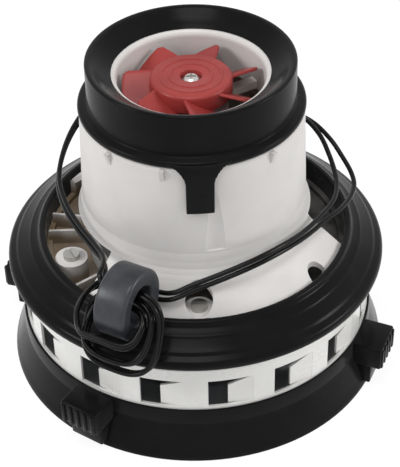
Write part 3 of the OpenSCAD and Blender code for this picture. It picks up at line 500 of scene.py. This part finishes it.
# %% [markdown]
# ## Top mount, tab bent round
# Extruding the flat tab gives it a front. Then every point moves: its height stays, its place across
# becomes an angle round the axis, and its depth becomes a radius. The hanging part is a little thinner
# than the root, and the root thins out into the bead. A bevel rounds the front's rim.

# %% Tab bent round
tab_azimuth = math.radians(-87.0)
tab_inner = 44.6
tab_thick = 2.0
step_depth = 0.5
thinning = 0.62
thin_from = 114.9
thin_to = 118.9
drawn_in = 1.2
drawn_from = 6
drawn_to = 12
rim_rounding = 0.4


def part_way(x, low, high):
    """How far x has come from low to high, from 0 to 1."""
    return min(max((x - low) / (high - low), 0), 1)


extruded = bmesh.ops.extrude_face_region(tab, geom=tab.faces[:])["geom"]
front_faces = {f for f in extruded if isinstance(f, bmesh.types.BMFace)}
front_verts = {v for f in front_faces for v in f.verts}
rim = [e for f in front_faces for e in f.edges if not front_faces.issuperset(e.link_faces)]
for v in tab.verts:
    x = v.co.x / mm
    z = v.co.z / mm
    depth = 0.0
    if v in front_verts:
        depth = tab_thick - (step_depth if z < tab_step - 0.01 else 0.0)
        depth *= 1 - thinning * part_way(z, thin_from, thin_to)
    reach = tab_inner + depth - drawn_in * part_way(abs(x), drawn_from, drawn_to)
    angle = tab_azimuth + x / tab_inner
    v.co = Vector((reach * math.cos(angle), reach * math.sin(angle), z)) * mm
bmesh.ops.bevel(
    tab, geom=rim, offset=rim_rounding * mm, affect="EDGES", segments=2, profile=0.5, material=-1,
)
print("Tab:", len(tab.faces), "faces once it is bent")
join(collar, tab)

# %% [markdown]
# ## Top mount, pip
# A small three-sided pip stands on the tab, as a mark of the mould. It is a cone with three sides and a
# flat top, laid on its side and turned to the tab. With it, the top mount is complete.

# %% Pip on the tab
pip_place = Vector((46.2, 0, 106.4))
pip_foot = 1.3
pip_top = 0.9
pip_height = 0.9
pip = Matrix.Rotation(tab_azimuth, 4, "Z") @ Matrix.Translation(pip_place * mm)
pip = pip @ Matrix.Rotation(math.radians(90), 4, "Y")
bmesh.ops.create_cone(
    collar, cap_ends=True, segments=3, radius1=pip_foot * mm, radius2=pip_top * mm,
    depth=pip_height * mm, matrix=pip,
)
finish_piece("rubber_top_mount", collar, "motor_frame", "black_rubber", "top_mount")

# %% [markdown]
# ## Cooling fan, cap
# The red fan is one moulding, which blows cooling air through the motor. Its cap has a rolled edge, two
# raised rings on its top, a recess for the screw, and a hub below. All of that is round, so it is turned,
# and the rings are only a quarter of a millimetre high.

# %% Cap of the cooling fan
cap_outline = [
    (4.2, 128.8), (7.7, 128.8), (7.7, 129.05), (8.6, 129.05), (8.6, 128.8), (11.2, 128.8), (11.2, 129.05),
    (12.1, 129.05), (12.1, 128.8), (15.8, 128.8), (15.8, 121.6), (14.2, 121.6), (14.2, 126.0), (7, 126.0),
    (7, 120.6), (3.02, 120.6), (3.02, 125.6), (4.2, 125.6),
]
cap_rounding = [0.4, 0.1, 0.1, 0.1, 0.1, 0.1, 0.1, 0.1, 0.1, 1.4, 0.3, 0.3, 0.6, 0.5, 0.3, 0.2, 0.2, 0.2]
fan = turned(cap_outline, cap_rounding, steps=96)
print("Fan cap:", len(fan.faces), "faces")

# %% [markdown]
# ## Cooling fan, blades
# Seven flat blades stand out from the cap, tilted to push air down. A blade could be a thin box, but its
# root has to follow the cap and its tip the fan's outer circle. So it starts as a grid, whose points are
# fitted between both circles. Solidify then makes it thick, and a bevel rounds its edges.

# %% Blades of the cooling fan
blade_count = 7
first_blade = math.radians(-24)
blade_pitch = math.radians(32)
blade_chord = 15.0
blade_height = 124
blade_thickness = 1.2
blade_rounding = 0.3
corner_cut = 1.6
corner_from = 0.75
corner_angle = 1.0
cap_radius = 15.8
root_radius = cap_radius - 0.7
tip_radius = 26.5
for i in range(blade_count):
    blade = bmesh.new()
    bmesh.ops.create_grid(blade, x_segments=8, y_segments=10, size=0.5)
    for v in blade.verts:
        across = v.co.y * blade_chord
        level = across * math.cos(blade_pitch)
        corner = corner_cut * part_way(2 * abs(v.co.y), corner_from, 1) ** 2
        root = math.sqrt(root_radius ** 2 - level ** 2)
        tip = math.sqrt(tip_radius ** 2 - level ** 2) - corner
        out = root + (v.co.x + 0.5) * (tip - root)
        v.co = Vector((out, level, blade_height - across * math.sin(blade_pitch))) * mm
    bmesh.ops.recalc_face_normals(blade, faces=blade.faces)
    bmesh.ops.solidify(blade, geom=blade.faces[:], thickness=blade_thickness * mm)
    edges = [e for e in blade.edges if e.calc_face_angle(0.0) > corner_angle]
    bmesh.ops.bevel(
        blade, geom=edges, offset=blade_rounding * mm, affect="EDGES", segments=2, profile=0.5, material=-1,
    )
    turn = Matrix.Rotation(first_blade + 2 * math.pi * i / blade_count, 3, "Z")
    bmesh.ops.rotate(blade, cent=(0, 0, 0), matrix=turn, verts=blade.verts)
    join(fan, blade)
finish_piece("red_cooling_fan", fan, "rotor", "red_plastic", "cooling_fan")

# %% [markdown]
# ## Ferrite core
# The core is a ring of pressed and fired ferrite with rounded corners, which keeps electrical noise off
# the lead. It is turned about Z, then laid on its side with its hole along the wires' direction.

# %% Ferrite core
core_outline = [(7.5, -6.5), (14, -6.5), (14, 6.5), (7.5, 6.5)]
core = turned(core_outline, [1.5] * 4, steps=72, segments=5)
onto_side = Matrix.Rotation(math.radians(90), 4, "Y")
lay = Matrix.Translation(core_centre * mm) @ core_turn.to_4x4() @ onto_side
bmesh.ops.transform(core, matrix=lay, verts=core.verts)
ferrite_core = finish_piece("ferrite_ring", core, "motor_frame", "ferrite", "ferrite_core")

# %% [markdown]
# ## Lead as a cord
# The wires are free to bend. Here the start and the length of each are worked out, and nothing uses them.

# %% Lead as a cord
for name, wire in wires.items():
    routes[name][0] * mm
    route_length(routes[name]) * mm
print("Cords:", [wire.name for wire in wires.values()])

# %% [markdown]
# ## Brush springs
# Each carbon brush is pushed by a small coil spring. A curve could draw it, but a circle spun about the
# spring's own axis, with a step along it, makes the coil as a closed mesh in one go. The spring shortens
# as the brush slides out.

# %% Brush springs
brush_height = 101.9
spring_radius = 2.5
spring_wire = 0.8
spring_turns = 5
spring_steps = spring_turns * 20
wire_sides = 8
for name, sign in (("right", 1), ("left", -1)):
    low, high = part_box(f"brush_spring_{name}")
    start, end = (low[0], high[0]) if sign > 0 else (high[0], low[0])
    run = end - start - sign * spring_wire * mm
    first = Vector((start + sign * spring_wire / 2 * mm, 0, (brush_height + spring_radius) * mm))
    upright = Matrix.Translation(first) @ Matrix.Rotation(math.radians(90), 4, "X")
    coil = bmesh.new()
    bmesh.ops.create_circle(coil, segments=wire_sides, radius=spring_wire / 2 * mm, matrix=upright)
    bmesh.ops.spin(
        coil, geom=coil.verts[:] + coil.edges[:], cent=(0, 0, brush_height * mm), axis=(1, 0, 0),
        dvec=(run / spring_steps, 0, 0), angle=2 * math.pi * spring_turns, steps=spring_steps,
        use_merge=False, use_duplicate=False,
    )
    open_ends = [e for e in coil.edges if len(e.link_faces) == 1]
    bmesh.ops.holes_fill(coil, edges=open_ends, sides=wire_sides)
    spring = finish_piece(f"brush_coil_{name}", coil, "motor_frame", "steel", f"brush_spring_{name}")
    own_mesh(spring)

# %% [markdown]
# ## Shader kit
# A material is a tree of nodes. Wiring each node by hand is long and hard to read, so a signal wraps one
# socket. Signals add, subtract and multiply like numbers, and `make` feeds them into any other node, so a
# material reads like a formula.

# %% Signals
class Signal:
    def __init__(self, tree, socket):
        self.tree = tree
        self.socket = socket

    @staticmethod
    def make(tree, kind, inputs=None, result=0, **settings):
        """Makes a node: its settings first, then the values or links of its sockets. Returns one result."""
        node = tree.nodes.new(kind)
        for key, value in settings.items():
            setattr(node, key, value)
        for key, value in (inputs or {}).items():
            if isinstance(value, Signal):
                tree.links.new(value.socket, node.inputs[key])
            else:
                node.inputs[key].default_value = value
        return Signal(tree, node.outputs[result])

    def math(self, operation, first, second):
        return self.make(self.tree, "ShaderNodeMath", {0: first, 1: second}, operation=operation)

    def __add__(self, other):
        return self.math("ADD", self, other)

    __radd__ = __add__

    def __mul__(self, other):
        return self.math("MULTIPLY", self, other)

    __rmul__ = __mul__

    def __sub__(self, other):
        return self.math("SUBTRACT", self, other)

    def __rsub__(self, other):
        return self.math("SUBTRACT", other, self)

    def noise(self, scale, detail):
        """Cloudy noise at this place, from 0 to 1. The scale is in cells per metre."""
        inputs = {"Vector": self, "Scale": scale, "Detail": detail, "Roughness": 0.55}
        return self.make(self.tree, "ShaderNodeTexNoise", inputs)

    def between(self, low, high):
        """0 below low, 1 above high, and smooth in between."""
        inputs = {"Value": self, "From Min": low, "From Max": high}
        return self.make(self.tree, "ShaderNodeMapRange", inputs, interpolation_type="SMOOTHSTEP")

    def colours(self, first, second):
        """The first colour where this is 0, the second where it is 1."""
        pair = {6: first, 7: second}
        pair = {key: c if isinstance(c, Signal) else (*c, 1.0) for key, c in pair.items()}
        return self.make(self.tree, "ShaderNodeMix", {0: self, **pair}, result=2, data_type="RGBA")


print("Signals can", [name for name in vars(Signal) if not name.startswith("_")])

# %% [markdown]
# ## Black rubber and wire sleeve
# The mounts are matt black rubber with a faint bloom, which a little sheen gives, and the wires have a
# smoother sleeve. Photographs of rubber could be laid on them, but noise needs no image and fits any
# shape. A large noise makes the colour a little uneven, as on handled parts, and a fine one gives the grain.

# %% Rubber and sleeve
def new_material(name):
    """A material with its shader, and the place on the object as a signal."""
    material = bpy.data.materials.new(name)
    material.use_nodes = True
    tree = material.node_tree
    place = Signal.make(tree, "ShaderNodeTexCoord", result="Object")
    return material, tree.nodes["Principled BSDF"], place


def plug(shader, **values):
    """Sets or feeds the shader's inputs. Underscores stand for the spaces in their names."""
    for key, value in values.items():
        socket = shader.inputs[key.replace("_", " ")]
        if isinstance(value, Signal):
            value.tree.links.new(value.socket, socket)
        elif isinstance(value, tuple):
            socket.default_value = (*value, 1.0)
        else:
            socket.default_value = value


def bump(height, strength, depth):
    inputs = {"Height": height, "Strength": strength, "Distance": depth * mm}
    return height.make(height.tree, "ShaderNodeBump", inputs, result="Normal")


grain_depth = 0.15
materials = {}


def plain(
    name, base, worn, rough, grain, strength,
    metallic=0.0, coat=0.0, cloud=60.0, specular=0.5, sheen=0.0,
):
    """An even surface: a base colour, a second colour in faint clouds, and a fine grain."""
    material, shader, place = new_material(name)
    clouds = place.noise(cloud, 4.0).between(0.35, 0.75)
    fine = place.noise(grain, 2.0)
    plug(
        shader,
        Base_Color=clouds.colours(base, worn),
        Roughness=rough + 0.10 * (clouds - 0.5) + 0.06 * (fine - 0.5),
        Metallic=metallic,
        Coat_Weight=coat,
        Coat_Roughness=0.25,
        Specular_IOR_Level=specular,
        Sheen_Weight=sheen,
        Sheen_Roughness=0.5,
        Normal=bump(fine, strength, grain_depth),
    )
    materials[name] = material


plain(
    "black_rubber", (0.003, 0.003, 0.0034), (0.005, 0.005, 0.0054), 0.24, 900, 0.05,
    specular=0.05, sheen=0.10,
)
plain("wire_sleeve", (0.004, 0.004, 0.0042), (0.006, 0.006, 0.006), 0.20, 1500, 0.04, specular=0.15)
print("Materials so far:", list(materials))

# %% [markdown]
# ## Paint, red plastic, metals, carbon and ferrite
# The fan case is painted sheet steel with a thin gloss coat, the fan is red plastic, and inside there are
# bright metals and carbon brushes. They differ in colour, in how rough they are, in whether they are metal
# and in how fine their grain is, so the same recipe makes them all. Ferrite has the strongest grain.

# %% Paint, red plastic, metals, carbon and ferrite
plain("white_paint", (0.76, 0.755, 0.735), (0.71, 0.705, 0.68), 0.32, 700, 0.03, coat=0.3)
plain("red_plastic", (0.33, 0.042, 0.038), (0.27, 0.034, 0.032), 0.36, 900, 0.04, specular=0.25)
plain("steel", (0.52, 0.51, 0.49), (0.43, 0.42, 0.40), 0.34, 2200, 0.05, metallic=1.0)
plain("sheet_aluminium", (0.42, 0.43, 0.44), (0.34, 0.35, 0.36), 0.48, 1600, 0.04, metallic=1.0)
plain("brass", (0.62, 0.45, 0.20), (0.52, 0.37, 0.16), 0.34, 1800, 0.04, metallic=1.0)
plain("carbon", (0.022, 0.022, 0.024), (0.035, 0.035, 0.036), 0.62, 3000, 0.15)
plain(
    "ferrite", (0.022, 0.024, 0.029), (0.038, 0.041, 0.047), 0.36, 2600, 0.20,
    cloud=150.0, specular=0.35,
)
print("Materials so far:", list(materials))

# %% [markdown]
# ## Copper windings and laminations
# The coils are wound from copper wire, and the cores are stacks of thin steel sheets. Modelling each wire
# and sheet would take very many faces, for pieces that are deep inside. So a wave along the axis draws the
# lines between them, as colour and as bump. At a scale of 1, Blender's wave repeats every 0.314 units.

# %% Copper and laminations
wave_repeat = 0.314


def striped(name, base, gap, rough, width, strength):
    """Wires or sheets stacked along the motor's axis. A wave is one of them and a gap as wide."""
    material, shader, place = new_material(name)
    inputs = {"Vector": place, "Scale": wave_repeat / (2 * width * mm), "Distortion": 0.4}
    stripes = Signal.make(place.tree, "ShaderNodeTexWave", inputs, bands_direction="Z")
    line = stripes.between(0.15, 0.6)
    plug(
        shader,
        Base_Color=line.colours(gap, base),
        Roughness=rough + 0.1 * (1 - line),
        Metallic=0.9,
        Normal=bump(stripes, strength, width * 0.3),
    )
    materials[name] = material


striped("copper", (0.52, 0.22, 0.10), (0.16, 0.05, 0.02), 0.34, 0.7, 0.6)
striped("laminations", (0.33, 0.34, 0.36), (0.10, 0.10, 0.11), 0.45, 0.5, 0.4)
print("Materials so far:", len(materials))

# %% [markdown]
# ## White plastic with painted shade
# The white plastic of the housing is plain white outside. Its side windows let the cooling air out, and the
# shade inside them is painted into the colour: brown on the left, nearly black on the right. The painted
# shade could be drawn on an image, but it follows the height above the base and the distance from the
# middle, so a mask from these two gives it. The screw pocket in front gets none.

# %% White plastic with painted shade
shade_full = 51.5 * mm
shade_gone = 57.5 * mm
window_from = 12 * mm
window_full = 25 * mm
material, shader, place = new_material("white_plastic")
clouds = place.noise(60, 4.0).between(0.35, 0.75)
fine = place.noise(1100, 2.0)
across = Signal.make(place.tree, "ShaderNodeSeparateXYZ", {"Vector": place}, result="X")
height = Signal.make(place.tree, "ShaderNodeSeparateXYZ", {"Vector": place}, result="Z")
ragged_height = height + 0.004 * (place.noise(160, 3.0) - 0.5)
# Painted shade: low down in the side windows, the plastic's colour is darkened to stand in for the shade
# there.
low_down = 1 - ragged_height.between(shade_full, shade_gone)
in_window = low_down * (across * across).between(window_from ** 2, window_full ** 2)
right_hand = across.between(0.0, 0.03)
# The painted shade is brown on the left and nearly black on the right.
painted_shade = right_hand.colours((0.23, 0.165, 0.10), (0.010, 0.009, 0.008))
bare_white = clouds.colours((0.66, 0.64, 0.625), (0.62, 0.60, 0.58))
plug(
    shader,
    Base_Color=(in_window * (0.82 + 0.18 * clouds)).colours(bare_white, painted_shade),
    Roughness=0.38 + 0.06 * clouds + 0.35 * in_window,
    Specular_IOR_Level=0.22,
    Normal=bump(fine, 0.03, grain_depth),
)
materials["white_plastic"] = material
print("Shaded plastic nodes:", len(material.node_tree.nodes))

# %% [markdown]
# ## Materials on the pieces
# Each CAD node takes the material that the record names for it, and each new piece the one it was made
# with. The two iron cores are steel in the record, and show their sheets here. A CAD node's mesh isn't
# touched: only its list of materials changes.

# %% Materials on the pieces
slot_of = {piece["node"]: piece["material_slot"] for piece in frame["record"]["subparts"]}
for node_name in ("stator_core", "armature_core"):
    slot_of[node_name] = "laminations"
for node_name, obj in nodes.items():
    obj.data.materials.clear()
    obj.data.materials.append(materials[slot_of[node_name]])
for piece, slot in dressed:
    piece.data.materials.append(materials[slot])
print("Materials:", len(materials), "on", len(nodes), "CAD nodes and", len(dressed), "new pieces")

# %% [markdown]
# ## Floor
# The photograph is a bright cut-out on plain white. Strong light on the floor would make it white, but
# would wash out the motor too. So the floor glows only for rays that come from the camera, from
# reflections or through clear pieces. A part of its own shading is kept, for a faint shadow.

# %% Floor
floor_drop = 0.2


def white_to_eye(tree):
    """1 for rays from the camera, from reflections and through clear pieces, 0 for scattered light."""
    camera_ray = Signal.make(tree, "ShaderNodeLightPath", result="Is Camera Ray")
    glossy_ray = Signal.make(tree, "ShaderNodeLightPath", result="Is Glossy Ray")
    clear_ray = Signal.make(tree, "ShaderNodeLightPath", result="Is Transmission Ray")
    return camera_ray + glossy_ray + clear_ray


floor_disc = bmesh.new()
below = Matrix.Translation((0, 0, -floor_drop * mm))
bmesh.ops.create_circle(floor_disc, cap_ends=True, segments=96, radius=3.0, matrix=below)
floor = bpy.data.objects.new("floor", bpy.data.meshes.new("floor"))
floor_disc.to_mesh(floor.data)
floor_disc.free()
scene.collection.objects.link(floor)
floor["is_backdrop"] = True

floor_material, floor_shader, floor_place = new_material("floor_white")
floor_tree = floor_place.tree
plug(floor_shader, Base_Color=(0.86, 0.86, 0.86), Roughness=0.9)
seen = white_to_eye(floor_tree)
matt = Signal(floor_tree, floor_shader.outputs["BSDF"])
glow = Signal.make(floor_tree, "ShaderNodeEmission", {"Color": (1, 1, 1, 1), "Strength": 1.1})
mixed = Signal.make(floor_tree, "ShaderNodeMixShader", {0: 0.8 * seen, 1: matt, 2: glow})
plug(floor_tree.nodes["Material Output"], Surface=mixed)
floor.data.materials.append(floor_material)
print("Floor:", len(floor.data.vertices), "corners, nodes:", len(floor_tree.nodes))

# %% [markdown]
# ## World
# The world is the soft light from all round that a pale studio gives. To the eye and in reflections it is
# white, and as light on the motor it has half that strength.

# %% World
world = bpy.data.worlds.new("studio")
scene.world = world
world.use_nodes = True
strength = white_to_eye(world.node_tree) * 0.5 + 0.5
plug(world.node_tree.nodes["Background"], Color=(1, 1, 1), Strength=strength)
print("World nodes:", len(world.node_tree.nodes))

# %% [markdown]
# ## Lamps
# Two soft lamps stand at the sides and one above, as in a product photograph, and give the rubber its
# soft lights. Sun lamps would give hard shadows, so they are discs, which all face the motor's middle.

# %% Lamps
lit_point = Vector((0, 0, 0.06))


def disc_lamp(name, place, size, power):
    lamp = bpy.data.lights.new(name, "AREA")
    lamp.shape = "DISK"
    lamp.size = size
    lamp.energy = power
    obj = bpy.data.objects.new(name, lamp)
    obj.location = place
    obj.rotation_mode = "QUATERNION"
    obj.rotation_quaternion = (lit_point - Vector(place)).to_track_quat("-Z", "Y")
    scene.collection.objects.link(obj)


disc_lamp("key", (-0.72, -0.24, 0.56), 0.28, 3.1)
disc_lamp("fill", (0.79, -0.12, 0.44), 0.28, 3.0)
disc_lamp("top", (-0.06, -0.24, 0.92), 0.4, 2.4)

# %% Sizes
low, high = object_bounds()
print("Visual box in mm:", [round(x / mm, 1) for x in (*low, *high)])
